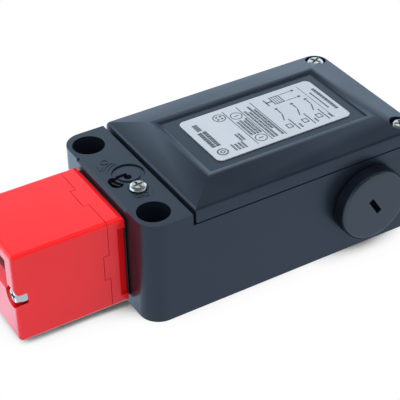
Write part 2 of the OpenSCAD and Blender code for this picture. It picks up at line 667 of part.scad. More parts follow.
module bridge_contacts() color("#c8963e") placed() for (i = [0, 1])
    translate([bridge_x(i), 0, axis_z]) {
        slab([0, -slider_w / 2 - bridge_reach, -bridge_h / 2], [bridge_t, slider_w / 2 + bridge_reach, bridge_h / 2]);
        for (side = [-1, 1]) rod_x(2.6, -rivet_t, 0.1, side * (slider_w / 2 + bridge_reach - 2), 0);
    }

// Contact block on the +Y side, with a room for each moving bridge
module contact_block() difference() {
    slab([contact_x, contact_y0, frame_z], [contact_x + contact_l, contact_y0 + contact_w, frame_z + contact_h]);
    for (i = [0, 1]) {
        slab([room_x(i), contact_y0 - past, axis_z - bridge_h / 2 - 1],
            [room_x(i) + contact_room, slider_w / 2 + bridge_reach + 0.6, axis_z + bridge_h / 2 + 1]);
        for (j = [0, 1]) {
            rod_z(terminal_d + 1, frame_z + contact_h - 3, frame_z + contact_h + past,
                room_x(i) + 4, contact_y0 + 3.6 + j * 6.8);
            rod_z(2.1, frame_z + contact_h - 6, frame_z + contact_h, room_x(i) + 4, contact_y0 + 3.6 + j * 6.8);
        }
    }
}

module contact_block_left() color("#3f444b") placed() contact_block();
module contact_block_right() color("#3f444b") placed() mirror([0, 1, 0]) contact_block();

module fixed_contacts() color("#c8963e") placed() for (side = [0, 1], i = [0, 1]) mirror([0, side, 0])
    slab([room_x(i), contact_y0 + 4, axis_z - bridge_h / 2 - 1],
        [room_x(i) + bridge_t, slider_w / 2 + bridge_reach + 0.6, axis_z + bridge_h / 2 + 1]);

module terminal_screws() color("silver") placed() for (side = [0, 1], i = [0, 1], j = [0, 1]) mirror([0, side, 0])
    translate([room_x(i) + 4, contact_y0 + 3.6 + j * 6.8, frame_z + contact_h - 3])
        rotate(15 * (i + j)) pan_screw(terminal_d, terminal_h, 2, 2.6);

module coil_terminal() color("#2f6e4a") placed() difference() {
    slab([guide_x - 11, 10, frame_z + 2], [guide_x + 1, 20, frame_z + 12]);
    for (i = [0, 1]) {
        rod_z(4, frame_z + 8, frame_z + 13, guide_x - 8 + 6 * i, 13);
        rod_y(3.2, 15, 21, guide_x - 8 + 6 * i, frame_z + 5);
    }
}

housing();
cover();
cover_gasket();
label_plate();
cover_screws();
head_body();
head_base();
head_gasket();
head_screws();
cam_wheel();
cam_axle();
plunger();
plunger_spring();
plunger_seal();
release_disc();
release_lock_screw();
plug_front();
plug_back();
plug_seals();
inner_frame();
frame_screws();
solenoid_yoke();
coil_bobbin();
coil_winding();
armature();
armature_spring();
lock_bar();
slider();
bridge_contacts();
contact_block_left();
contact_block_right();
fixed_contacts();
terminal_screws();
coil_terminal();
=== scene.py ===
import json
import random
from math import cos, pi, radians, sin

import bmesh
import bpy
from mathutils import Matrix, Vector

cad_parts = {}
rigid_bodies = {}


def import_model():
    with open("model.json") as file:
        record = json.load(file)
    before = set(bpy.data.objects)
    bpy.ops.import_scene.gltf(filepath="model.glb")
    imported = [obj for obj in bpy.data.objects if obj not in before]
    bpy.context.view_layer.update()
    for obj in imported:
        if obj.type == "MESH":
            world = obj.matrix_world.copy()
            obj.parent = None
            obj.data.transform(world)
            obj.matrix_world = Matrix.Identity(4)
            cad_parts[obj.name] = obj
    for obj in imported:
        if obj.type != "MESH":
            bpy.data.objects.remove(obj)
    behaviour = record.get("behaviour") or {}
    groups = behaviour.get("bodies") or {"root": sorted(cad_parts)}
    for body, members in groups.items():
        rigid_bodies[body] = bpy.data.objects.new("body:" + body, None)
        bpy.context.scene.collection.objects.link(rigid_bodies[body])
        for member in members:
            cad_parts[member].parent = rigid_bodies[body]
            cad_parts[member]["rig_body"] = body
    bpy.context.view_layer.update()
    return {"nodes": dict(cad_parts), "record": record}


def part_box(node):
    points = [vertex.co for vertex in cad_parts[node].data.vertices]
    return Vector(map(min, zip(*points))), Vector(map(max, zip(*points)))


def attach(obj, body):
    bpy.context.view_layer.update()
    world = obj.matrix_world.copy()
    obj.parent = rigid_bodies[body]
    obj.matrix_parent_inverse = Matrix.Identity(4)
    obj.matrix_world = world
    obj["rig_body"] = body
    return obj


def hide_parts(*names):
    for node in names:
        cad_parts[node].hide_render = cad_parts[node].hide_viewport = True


# Safety switch: moulded housing and cover, enamelled head, printed label, plated screws
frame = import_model()
nodes = frame["nodes"]
mm = 0.001
print("frame loaded:", len(nodes), "nodes")


# Small helpers for meshes

def newPiece(name, bm, material, body="housing_body"):
    bmesh.ops.recalc_face_normals(bm, faces=bm.faces)
    mesh = bpy.data.meshes.new(name)
    bm.to_mesh(mesh)
    bm.free()
    piece = bpy.data.objects.new(name, mesh)
    bpy.context.scene.collection.objects.link(piece)
    mesh.materials.append(material)
    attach(piece, body)
    return piece


def addBox(bm, low, high, turn=0.0):
    centre = (Vector(low) + Vector(high)) / 2
    size = Vector(high) - Vector(low)
    place = Matrix.Translation(centre) @ Matrix.Rotation(turn, 4, "Z") @ Matrix.Diagonal((*size, 1))
    return bmesh.ops.create_cube(bm, size=1, matrix=place)["verts"]


def addArc(bm, centre, radius, width, low, high, start, turn, steps):
    # a flat bar bent round a vertical axis; a full turn closes on itself
    corners = []
    for r, z in ((-1, low), (1, low), (1, high), (-1, high)):
        reach = radius + r * width / 2
        corners.append(bm.verts.new((centre[0] + reach * cos(start), centre[1] + reach * sin(start), z)))
    face = bm.faces.new(corners)
    whole = abs(turn) > 2 * pi - 0.001
    geom = list(face.verts) + list(face.edges) + ([] if whole else [face])
    bmesh.ops.spin(bm, geom=geom, cent=(*centre, 0), axis=(0, 0, 1), angle=turn, steps=steps, use_merge=whole)
    if whole:
        bmesh.ops.delete(bm, geom=[face], context="FACES_ONLY")


# Shader building

def addNode(tree, kind, settings=None, **inputs):
    node = tree.nodes.new(kind)
    for key, value in (settings or {}).items():
        setattr(node, key, value)
    for key, value in inputs.items():
        node.inputs[key.replace("_", " ")].default_value = value
    return node


def buildGrainGroup():
    # fine grain as height, and slow blotches for shade and gloss
    group = bpy.data.node_groups.new("surfaceGrain", "ShaderNodeTree")
    face = group.interface
    face.new_socket(name="Vector", in_out="INPUT", socket_type="NodeSocketVector")
    for name, value in (("Grain Scale", 2600.0), ("Blotch Scale", 60.0), ("Roundness", 0.5)):
        face.new_socket(name=name, in_out="INPUT", socket_type="NodeSocketFloat").default_value = value
    face.new_socket(name="Height", in_out="OUTPUT", socket_type="NodeSocketFloat")
    face.new_socket(name="Blotch", in_out="OUTPUT", socket_type="NodeSocketFloat")
    start = group.nodes.new("NodeGroupInput")
    end = group.nodes.new("NodeGroupOutput")
    fine = addNode(group, "ShaderNodeTexNoise", Detail=3.0)
    slow = addNode(group, "ShaderNodeTexNoise", Detail=2.0)
    spread = addNode(group, "ShaderNodeMapRange", {"interpolation_type": "SMOOTHSTEP"}, From_Min=0.25, From_Max=0.75)
    link = group.links.new
    for texture, scale in ((fine, "Grain Scale"), (slow, "Blotch Scale")):
        link(start.outputs["Vector"], texture.inputs["Vector"])
        link(start.outputs[scale], texture.inputs["Scale"])
    link(start.outputs["Roundness"], fine.inputs["Roughness"])
    link(slow.outputs["Fac"], spread.inputs["Value"])
    link(fine.outputs["Fac"], end.inputs["Height"])
    link(spread.outputs["Result"], end.inputs["Blotch"])
    return group


def buildLineGroup():
    # fine parallel lines: turned faces, wire turns and drawn strip
    group = bpy.data.node_groups.new("fineLines", "ShaderNodeTree")
    face = group.interface
    face.new_socket(name="Vector", in_out="INPUT", socket_type="NodeSocketVector")
    face.new_socket(name="Line Scale", in_out="INPUT", socket_type="NodeSocketFloat").default_value = 900.0
    face.new_socket(name="Wander", in_out="INPUT", socket_type="NodeSocketFloat").default_value = 0.4
    face.new_socket(name="Height", in_out="OUTPUT", socket_type="NodeSocketFloat")
    start = group.nodes.new("NodeGroupInput")
    end = group.nodes.new("NodeGroupOutput")
    wave = addNode(group, "ShaderNodeTexWave", {"wave_type": "BANDS", "bands_direction": "Y"}, Detail=1.0)
    link = group.links.new
    link(start.outputs["Vector"], wave.inputs["Vector"])
    link(start.outputs["Line Scale"], wave.inputs["Scale"])
    link(start.outputs["Wander"], wave.inputs["Distortion"])
    link(wave.outputs["Fac"], end.inputs["Height"])
    return group


grainGroup = buildGrainGroup()
lineGroup = buildLineGroup()


def makeFinish(name, look):
    material = bpy.data.materials.new(name)
    material.use_nodes = True
    tree = material.node_tree
    link = tree.links.new
    shader = tree.nodes["Principled BSDF"]
    place = tree.nodes.new("ShaderNodeTexCoord")
    stretch = addNode(tree, "ShaderNodeMapping", Scale=look.get("stretch", (1, 1, 1)))
    grain = addNode(tree, "ShaderNodeGroup", {"node_tree": grainGroup})
    grain.inputs["Grain Scale"].default_value = look["grain"]
    grain.inputs["Blotch Scale"].default_value = look["blotch"]
    link(place.outputs["Object"], stretch.inputs["Vector"])
    link(stretch.outputs["Vector"], grain.inputs["Vector"])
    shade = addNode(tree, "ShaderNodeMix", {"data_type": "RGBA"})
    # the colour sockets of a Mix node are the third pair
    shade.inputs[6].default_value = (*look["colour"], 1)
    shade.inputs[7].default_value = (*look["colourTwo"], 1)
    link(grain.outputs["Blotch"], shade.inputs[0])
    link(shade.outputs[2], shader.inputs["Base Color"])
    gloss = addNode(tree, "ShaderNodeMapRange", To_Min=look["rough"][0], To_Max=look["rough"][1])
    link(grain.outputs["Blotch"], gloss.inputs["Value"])
    link(gloss.outputs["Result"], shader.inputs["Roughness"])
    bump = addNode(tree, "ShaderNodeBump", Strength=look.get("bump", 0.5), Distance=look["depth"])
    link(grain.outputs["Height"], bump.inputs["Height"])
    if "lines" in look:
        lines = addNode(tree, "ShaderNodeGroup", {"node_tree": lineGroup})
        lines.inputs["Line Scale"].default_value = look["lines"]
        link(place.outputs["Object"], lines.inputs["Vector"])
        lineBump = addNode(tree, "ShaderNodeBump", Strength=0.6, Distance=look["lineDepth"])
        link(lines.outputs["Height"], lineBump.inputs["Height"])
        link(bump.outputs["Normal"], lineBump.inputs["Normal"])
        bump = lineBump
    link(bump.outputs["Normal"], shader.inputs["Normal"])
    for socket, value in look.get("sockets", {}).items():
        shader.inputs[socket].default_value = value
    return material


# Finishes, one dictionary each. Colours are linear, grain and blotch sizes are per metre

finishes = {
    "black_moulding": {
        "colour": (0.0082, 0.0122, 0.0210), "colourTwo": (0.0102, 0.0148, 0.0250), "rough": (0.28, 0.36),
        "grain": 3200, "blotch": 45, "depth": 0.012 * mm,
        "sockets": {"Specular IOR Level": 0.69, "Specular Tint": (0.81, 0.90, 1.0, 1)}},
    "black_plug": {
        "colour": (0.0045, 0.0065, 0.0130), "colourTwo": (0.0060, 0.0085, 0.0160), "rough": (0.20, 0.27),
        "grain": 2600, "blotch": 80, "depth": 0.014 * mm,
        "sockets": {"Specular IOR Level": 1.0, "Specular Tint": (0.96, 0.98, 1.0, 1)}},
    "black_rubber": {
        "colour": (0.010, 0.011, 0.012), "colourTwo": (0.014, 0.015, 0.016), "rough": (0.55, 0.65),
        "grain": 1800, "blotch": 120, "depth": 0.02 * mm, "sockets": {"Specular IOR Level": 0.35}},
    "label_film": {
        "colour": (0.405, 0.453, 0.510), "colourTwo": (0.458, 0.506, 0.563), "rough": (0.32, 0.40),
        "grain": 1500, "blotch": 50, "depth": 0.004 * mm, "stretch": (1, 0.06, 1),
        "sockets": {"Specular IOR Level": 0.4}},
    "red_enamel": {
        "colour": (0.86, 0.003, 0.004), "colourTwo": (0.86, 0.003, 0.004), "rough": (0.26, 0.26),
        "grain": 620, "blotch": 40, "depth": 0.010 * mm, "bump": 0.35,
        "sockets": {"Specular IOR Level": 0.5, "Coat Weight": 0.22, "Coat Roughness": 0.10, "Coat IOR": 1.6}},
    "screw_steel": {
        "colour": (0.70, 0.66, 0.60), "colourTwo": (0.80, 0.75, 0.68), "rough": (0.16, 0.24),
        "grain": 900, "blotch": 300, "depth": 0.01 * mm, "sockets": {"Metallic": 1.0}},
    "spring_steel": {
        "colour": (0.55, 0.56, 0.58), "colourTwo": (0.62, 0.63, 0.65), "rough": (0.25, 0.32),
        "grain": 1800, "blotch": 200, "depth": 0.006 * mm, "sockets": {"Metallic": 1.0}},
    "machined_steel": {
        "colour": (0.52, 0.53, 0.55), "colourTwo": (0.60, 0.61, 0.63), "rough": (0.28, 0.36),
        "grain": 1400, "blotch": 150, "depth": 0.008 * mm, "lines": 900, "lineDepth": 0.006 * mm,
        "sockets": {"Metallic": 1.0}},
    "cam_plastic": {
        "colour": (0.62, 0.58, 0.50), "colourTwo": (0.68, 0.64, 0.56), "rough": (0.38, 0.46),
        "grain": 1600, "blotch": 90, "depth": 0.01 * mm,
        "sockets": {"Subsurface Weight": 0.15, "Subsurface Scale": 0.002}},
    "grey_moulding": {
        "colour": (0.27, 0.29, 0.32), "colourTwo": (0.31, 0.33, 0.36), "rough": (0.42, 0.50),
        "grain": 2200, "blotch": 80, "depth": 0.014 * mm},
    "dark_moulding": {
        "colour": (0.045, 0.050, 0.058), "colourTwo": (0.055, 0.061, 0.070), "rough": (0.40, 0.48),
        "grain": 2200, "blotch": 80, "depth": 0.014 * mm},
    "blue_moulding": {
        "colour": (0.03, 0.15, 0.36), "colourTwo": (0.04, 0.18, 0.42), "rough": (0.38, 0.46),
        "grain": 2200, "blotch": 80, "depth": 0.012 * mm},
    "green_moulding": {
        "colour": (0.03, 0.16, 0.08), "colourTwo": (0.04, 0.20, 0.10), "rough": (0.38, 0.46),
        "grain": 2200, "blotch": 80, "depth": 0.012 * mm},
    "copper_wire": {
        "colour": (0.50, 0.18, 0.07), "colourTwo": (0.58, 0.24, 0.10), "rough": (0.22, 0.30),
        "grain": 1200, "blotch": 160, "depth": 0.004 * mm, "lines": 420, "lineDepth": 0.12 * mm,
        "sockets": {"Metallic": 1.0, "Coat Weight": 0.4}},
    "contact_brass": {
        "colour": (0.66, 0.46, 0.18), "colourTwo": (0.74, 0.54, 0.24), "rough": (0.24, 0.34),
        "grain": 1500, "blotch": 140, "depth": 0.006 * mm, "sockets": {"Metallic": 1.0}},
}
printInk = {
    "colour": (0.050, 0.063, 0.080), "colourTwo": (0.060, 0.075, 0.093), "rough": (0.40, 0.48),
    "grain": 2500, "blotch": 300, "depth": 0.004 * mm}

materials = {slotName: makeFinish(slotName, look) for slotName, look in finishes.items()}
inkMaterial = makeFinish("label_ink", printInk)
print("finishes made:", len(materials) + 1)

slotOf = {part["node"]: part["material_slot"] for part in frame["record"]["subparts"]}
for nodeName, node in nodes.items():
    node.data.materials.clear()
    node.data.materials.append(materials[slotOf[nodeName]])


# Shapes that finish the moulded pieces before their edges are softened
# Places are in mm from the block's end face, which lies at blockFace in the row's frame

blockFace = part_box("housing")[0].x / mm
shaping = {
    "chamfer": 1.0, "deck": 38.6, "headHalf": 17.0, "headMiddle": 19.1, "filled": (4.8, -13.4, 3.2), "skim": 0.03,
    "notch": {"wide": 4.4, "x": 4.4, "y": (-2.9, -1.1), "deep": 3.5},
    "seam": {"z": 34.3, "high": 0.5, "deep": 0.55},
    "relief": ((1.5, 0.6, 17.5), (2.8, 1.0, 13.4), (1.5, 0.6, 17.5), (2.8, 1.0, 13.4)),
    "ridge": {"from": 0.35, "round": 1.5, "steps": 6},
    "plugTurn": -66.0, "plugSlot": {"turn": 33, "wide": 2.0, "long": 7.0, "deep": 3.6, "old": 1.8}}


def shapeObject(name, bm):
    bmesh.ops.recalc_face_normals(bm, faces=bm.faces)
    mesh = bpy.data.meshes.new(name)
    bm.to_mesh(mesh)
    bm.free()
    shape = bpy.data.objects.new(name, mesh)
    bpy.context.scene.collection.objects.link(shape)
    return shape


def at(x, y, z):
    return Vector((x + blockFace, y, z)) * mm


def boxShape(low, high):
    bm = bmesh.new()
    addBox(bm, at(*low), at(*high))
    return shapeObject("shape", bm)


def rodShape(x, y, low, high, wide):
    bm = bmesh.new()
    bmesh.ops.create_cone(bm, cap_ends=True, segments=48, radius1=wide / 2 * mm, radius2=wide / 2 * mm,
                          depth=(high - low) * mm, matrix=Matrix.Translation(at(x, y, (low + high) / 2)))
    return shapeObject("shape", bm)


def prismShape(profile, start, end, turn):
    # profile holds (x, height above the head's middle); the prism runs across and is turned about the head's axis
    bm = bmesh.new()
    spin = Matrix.Rotation(turn, 4, "X")
    middle = Vector((0, 0, shaping["headMiddle"])) * mm
    rings = [[bm.verts.new(spin @ (at(x, y, 0) + Vector((0, 0, h * mm))) + middle) for x, h in profile]
             for y in (start, end)]
    bm.faces.new(rings[0])
    bm.faces.new(rings[1][::-1])
    for k in range(len(profile)):
        n = (k + 1) % len(profile)
        bm.faces.new((rings[0][k], rings[1][k], rings[1][n], rings[0][n]))
    return shapeObject("shape", bm)


def outlineRing(box, radii, grow, z, steps=10):
    # closed outline round a box, with one corner radius at each end
    low, high = box
    points = []
    for cx, cy, r, start in ((1, 1, radii[1], 0), (-1, 1, radii[0], 90), (-1, -1, radii[0], 180), (1, -1, radii[1], 270)):
        r = max(r + grow, 0.05)
        x = (high.x / mm + grow - r) if cx > 0 else (low.x / mm - grow + r)
        y = (high.y / mm + grow - r) if cy > 0 else (low.y / mm - grow + r)
        for k in range(steps + 1):
            turn = radians(start + 90 * k / steps)
            points.append(Vector((x + r * cos(turn), y + r * sin(turn), z)) * mm)
    return points


def bandShape(rings):
    # closed band through rings of points, the last joined to the first
    bm = bmesh.new()
    loops = [[bm.verts.new(point) for point in ring] for ring in rings]
    count = len(loops[0])
    for a, b in zip(loops, loops[1:] + loops[:1]):
        for k in range(count):
            n = (k + 1) % count
            bm.faces.new((a[k], a[n], b[n], b[k]))
    return bm


def carve(mesh, shapes):
    # adds or cuts the shapes one after another and gives the new mesh
    worked = bpy.data.objects.new("worked", mesh)
    bpy.context.scene.collection.objects.link(worked)
    for kind, shape in shapes:
        step = worked.modifiers.new(kind, "BOOLEAN")
        step.operation = kind
        step.solver = "EXACT"
        step.object = shape
    done = bpy.data.meshes.new_from_object(worked.evaluated_get(bpy.context.evaluated_depsgraph_get()))
    for thing in [worked] + [shape for kind, shape in shapes]:
        bpy.data.objects.remove(thing)
    return done


def housingShapes():
    deck, notch = shaping["deck"], shaping["notch"]
    edge = shaping["chamfer"]
    x, low, high = shaping["filled"]
    top = deck - shaping["skim"] - shaping["headMiddle"]
    shapes = [("UNION", boxShape((0, low, deck - high), (x, -low, deck + 0.5)))]
    shapes.append(("DIFFERENCE", boxShape((-3, -32, deck - shaping["skim"]), (17.1, 32, deck + 2))))
    deck -= shaping["skim"]
    shapes.append(("DIFFERENCE", prismShape(((-1, top - edge - 1), (-1, top + 1), (edge + 1, top + 1)),
                                            -shaping["headHalf"], shaping["headHalf"], 0)))
    for y in notch["y"]:
        shapes.append(("DIFFERENCE", rodShape(notch["x"], y, deck - notch["deep"], deck + 1, notch["wide"])))
    shapes.append(("DIFFERENCE", boxShape((notch["x"] - notch["wide"] / 2, notch["y"][0], deck - notch["deep"]),
                                          (notch["x"] + notch["wide"] / 2, notch["y"][1], deck + 1))))
    return shapes


def coverShapes():
    seam = shaping["seam"]
    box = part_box("cover_gasket")
    low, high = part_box("cover")
    # the locating tongues reach past the edge, so the outline starts where the gasket does
    reach = high.x - box[1].x
    outline = (Vector((box[0].x - reach, low.y, 0)), Vector((high.x, high.y, 0)))
    rings = [outlineRing(outline, (0.6, 6.0), grow, z) for grow, z in (
        (-seam["deep"], seam["z"] - 1), (2, seam["z"] - 1), (2, seam["z"] + seam["high"]), (-seam["deep"], seam["z"] + seam["high"]))]
    return [("DIFFERENCE", shapeObject("seamCut", bandShape(rings)))]


def baseShapes():
    # each of the four faces falls away towards the block: how long, how deep and how far across
    half = shaping["headHalf"]
    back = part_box("head_base")[1].x / mm - blockFace
    shapes = []
    for k, (long, deep, reach) in enumerate(shaping["relief"]):
        profile = ((back - long, half + 0.01), (back + 0.3, half - deep * (1 + 0.3 / long)),
                   (back + 0.3, half + 1), (back - long, half + 1))
        shapes.append(("DIFFERENCE", prismShape(profile, -reach, reach, k * pi / 2)))
    return shapes


def plugShapes(nodeName):
    # the slot as short and deep as it looks in the photograph
    slot = shaping["plugSlot"]
    low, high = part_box(nodeName)
    side = -1 if nodeName == "plug_front" else 1
    face = low.y if side < 0 else high.y
    middle = Vector(((low.x + high.x) / 2, face, (low.z + high.z) / 2))
    bm = bmesh.new()
    bmesh.ops.create_cone(bm, cap_ends=True, segments=48, radius1=6 * mm, radius2=6 * mm, depth=(slot["old"] + 0.2) * mm,
                          matrix=Matrix.Translation(middle - Vector((0, side * (slot["old"] + 0.2) / 2 * mm, 0)))
                          @ Matrix.Rotation(pi / 2, 4, "X"))
    filled = shapeObject("shape", bm)
    bm = bmesh.new()
    turn = radians(slot["turn"])
    bmesh.ops.create_cube(bm, size=1, matrix=Matrix.Translation(middle) @ Matrix.Rotation(turn, 4, "Y")
                          @ Matrix.Diagonal((slot["wide"] * mm, 2 * slot["deep"] * mm, slot["long"] * mm, 1)))
    return [("UNION", filled), ("DIFFERENCE", shapeObject("shape", bm))]


def domeHeads(bm, axis, offset):
    # the rim of each screw head is rounded well over, as on a pan head
    def islandOf(start):
        island, queue = {start}, [start]
        while queue:
            for edge in queue.pop().link_edges:
                for vert in edge.verts:
                    if vert not in island:
                        island.add(vert)
                        queue.append(vert)
        return island

    across = [k for k in range(3) if not axis[k]]
    left, rims = set(bm.verts), []
    while left:
        island = islandOf(next(iter(left)))
        left -= island
        centre = Vector([(min(v.co[k] for v in island) + max(v.co[k] for v in island)) / 2 for k in across])
        top = max(v.co.dot(axis) for v in island)
        reach = {v: (Vector([v.co[k] for k in across]) - centre).length for v in island if v.co.dot(axis) > top - 0.02 * mm}
        rim = {v for v in reach if reach[v] > max(reach.values()) - 0.1 * mm}
        rims += [edge for edge in bm.edges if all(v in rim for v in edge.verts)]
    bmesh.ops.bevel(bm, geom=rims, offset=offset * mm, offset_type="OFFSET", segments=5, profile=0.5, affect="EDGES",
                    clamp_overlap=True, material=-1)
    print("screw rims rounded:", len(rims))


def softenRidge(bm):
    # the crest round the tray becomes one soft ridge
    top = max(vert.co.z for vert in bm.verts)
    ridge = [vert for vert in bm.verts if vert.co.z > top - 0.01 * mm]
    bmesh.ops.remove_doubles(bm, verts=ridge, dist=shaping["ridge"]["from"] * mm)
    edges = [edge for edge in bm.edges if all(vert.co.z > top - 0.01 * mm for vert in edge.verts)]
    bmesh.ops.bevel(bm, geom=edges, offset=shaping["ridge"]["round"] * mm, offset_type="OFFSET",
                    segments=shaping["ridge"]["steps"], profile=0.5, affect="EDGES", clamp_overlap=True)


shapesOf = {
    "housing": housingShapes, "cover": coverShapes, "head_base": baseShapes,
    "plug_front": lambda: plugShapes("plug_front"), "plug_back": lambda: plugShapes("plug_back")}


# Nodes that show get softened edges: a merged copy of the solid, bevelled by angle

softEdges = {
    "housing": 0.40, "cover": 0.35, "head_body": 0.50, "head_base": 0.30, "plug_front": 0.25, "plug_back": 0.25,
    "label_plate": 0.08, "release_disc": 0.10, "cover_screws": 0.12, "head_screws": 0.12,
    "release_lock_screw": 0.12, "cam_wheel": 0.25, "head_gasket": 0.20, "plug_seals": 0.20}
screwDomes = {
    "head_screws": (Vector((-1, 0, 0)), 1.2), "cover_screws": (Vector((0, 0, 1)), 0.9),
    "release_lock_screw": (Vector((0, 0, 1)), 0.9)}
softening = {"merge": 0.002 * mm, "flat": 0.6, "bevelFrom": 28, "baseFrom": 15, "steps": 3}


def cleaned(mesh):
    bm = bmesh.new()
    bm.from_mesh(mesh)
    bmesh.ops.remove_doubles(bm, verts=bm.verts, dist=softening["merge"])
    bmesh.ops.dissolve_limit(bm, angle_limit=radians(softening["flat"]), verts=bm.verts, edges=bm.edges,
                             use_dissolve_boundaries=False, delimit=set())
    return bm


def soften(nodeName, radius):
    node = nodes[nodeName]
    bm = cleaned(node.data)
    if nodeName in shapesOf:
        mesh = bpy.data.meshes.new(nodeName + "_worked")
        bm.to_mesh(mesh)
        bm.free()
        bm = cleaned(carve(mesh, shapesOf[nodeName]()))
    if nodeName == "cover":
        softenRidge(bm)
    if nodeName in screwDomes:
        domeHeads(bm, *screwDomes[nodeName])
    if nodeName.startswith("plug_f") or nodeName.startswith("plug_b"):
        # a screwed plug stops at any angle, here at the photograph's
        low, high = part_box(nodeName)
        middle = (low + high) / 2
        turn = radians(shaping["plugTurn"]) * (1 if nodeName == "plug_front" else -1)
        bmesh.ops.rotate(bm, verts=bm.verts, cent=middle, matrix=Matrix.Rotation(turn, 3, "Y"))
    for face in bm.faces:
        face.smooth = True
    mesh = bpy.data.meshes.new(nodeName + "_finished")
    bm.to_mesh(mesh)
    bm.free()
    piece = bpy.data.objects.new(nodeName + "_finished", mesh)
    bpy.context.scene.collection.objects.link(piece)
    mesh.materials.append(materials[slotOf[nodeName]])
    bevel = piece.modifiers.new("softEdge", "BEVEL")
    bevel.width = radius * mm
    bevel.segments = softening["steps"]
    bevel.limit_method = "ANGLE"
    bevel.angle_limit = radians(softening["baseFrom" if nodeName == "head_base" else "bevelFrom"])
    bevel.profile = 0.5
    bevel.material = -1
    # wide flat faces keep one even shade up to their soft edges
    even = piece.modifiers.new("evenShade", "WEIGHTED_NORMAL")
    even.mode = "FACE_AREA"
    even.weight = 80
    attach(piece, node["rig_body"])
    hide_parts(nodeName)
    return piece


for nodeName, radius in softEdges.items():
    soften(nodeName, radius)
print("softened edges on", len(softEdges), "nodes")


# Bead of the head gasket, which shows as a thin line between the head and the block

gasketBead = {"inner": 15.7, "outer": 16.5, "from": -0.75, "to": -0.05, "round": 0.25, "corner": 3.0}


def beadGasket():
    bead = gasketBead
    half = bead["outer"]
    rings = []
    for reach, x in ((bead["inner"], bead["from"]), (half - bead["round"], bead["from"]), (half, bead["from"] + bead["round"]),
                     (half, bead["to"] - bead["round"]), (half - bead["round"], bead["to"]), (bead["inner"], bead["to"])):
        corner = bead["corner"] - (half - reach)
        flat = outlineRing((Vector((-reach, -reach, 0)) * mm, Vector((reach, reach, 0)) * mm), (corner, corner), 0, 0)
        rings.append([Vector(((x + blockFace) * mm, point.y, point.x + shaping["headMiddle"] * mm)) for point in flat])
    piece = newPiece("gasket_bead", bandShape(rings), materials["black_rubber"])
    for face in piece.data.polygons:
        face.use_smooth = True
    return piece


beadGasket()
print("gasket beaded")


# Label print: bars, a table, contact symbols and rings, none of them a letter or a mark

labelPrint = {"thick": 0.03, "line": 0.30, "gap": 0.18, "edge": 1.9, "seed": 11}


